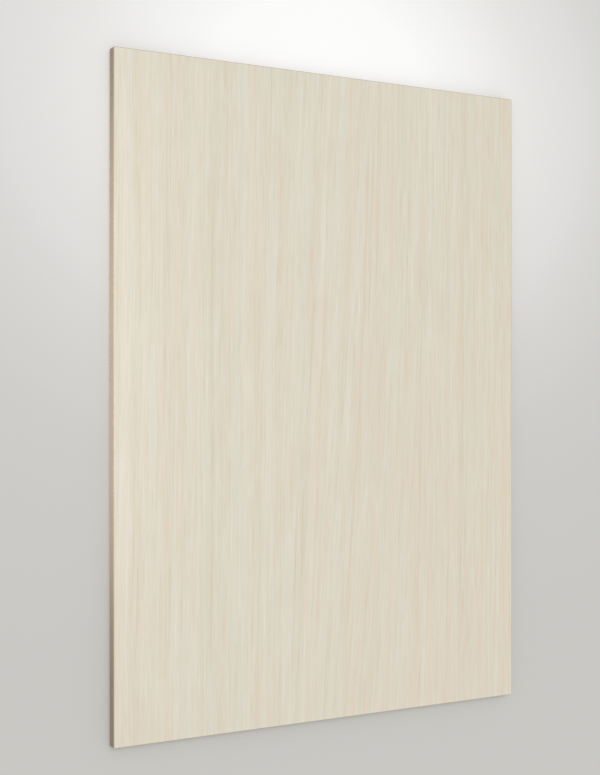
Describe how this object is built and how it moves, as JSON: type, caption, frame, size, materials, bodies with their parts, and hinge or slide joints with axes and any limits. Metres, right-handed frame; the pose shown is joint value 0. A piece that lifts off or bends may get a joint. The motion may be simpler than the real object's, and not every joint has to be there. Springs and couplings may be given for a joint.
{
  "type": "decorative laminate sheet",
  "caption": "Flat rectangular sheet of compact laminate with a pale straight-grained wood decor face and a brown core, for facing furniture, doors and walls.",
  "frame": {"origin": "middle of the back face, which lies on the floor", "axes": "+Z through the thickness from the back face to the decor face, +Y along the wood grain and the longer side, +X across the grain"},
  "size_m": [0.21, 0.297, 0.005],
  "materials": {
    "pressed_laminate": "matte"
  },
  "bodies": {
    "root": {"laminate_sheet": "pressed_laminate"}
  },
  "joints": []
}
